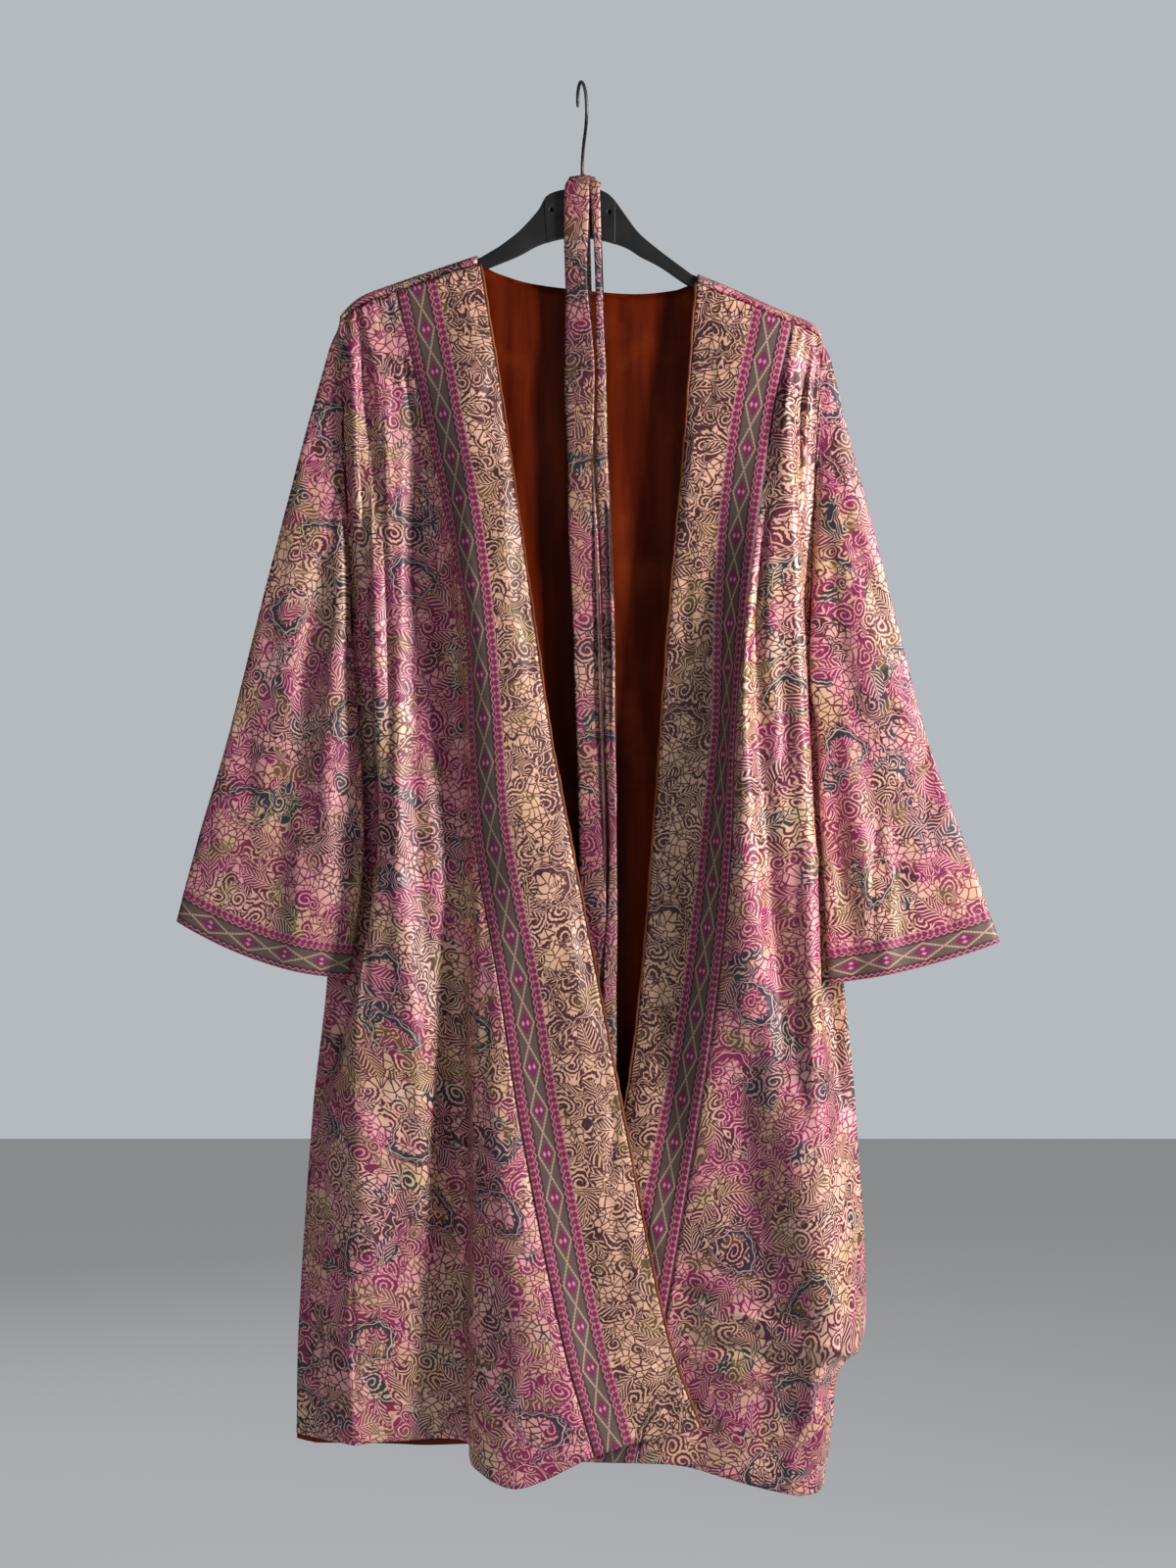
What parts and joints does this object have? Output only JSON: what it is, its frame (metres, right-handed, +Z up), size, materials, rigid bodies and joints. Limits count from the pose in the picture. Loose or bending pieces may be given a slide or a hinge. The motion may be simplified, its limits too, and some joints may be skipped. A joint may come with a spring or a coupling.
{
  "type": "kimono jacket with belt on a coat hanger",
  "caption": "Open, knee-length kimono jacket of paisley-printed silk with contrast front bands, satin lining and belt, hung on a plastic coat hanger.",
  "frame": {"origin": "inner top of the hanger's hook, where the rail lies", "axes": "+Z up, -Y out of the garment's front, +X to the wearer's left"},
  "size_m": [0.753, 0.0795, 1.2925],
  "materials": {
    "printed_silk": "satin silk with an all-over paisley jaal in wine, teal and olive on peach",
    "band_silk": "satin silk, beige ground with brown scrolls and a woven-look diamond border",
    "rust_satin": "plain satin lining",
    "black_plastic": "moulded, half matt",
    "hook_steel": "dull darkened steel wire"
  },
  "bodies": {
    "root": {"hanger_body": "black_plastic", "hanger_hook": "hook_steel", "belt": "printed_silk", "back_panel": "printed_silk", "back_lining": "rust_satin", "front_right": "printed_silk", "front_left": "printed_silk", "front_band_right": "band_silk", "front_band_left": "band_silk", "edge_roll_right": "rust_satin", "edge_roll_left": "rust_satin", "sleeve_right": "printed_silk", "sleeve_left": "printed_silk"}
  },
  "joints": []
}
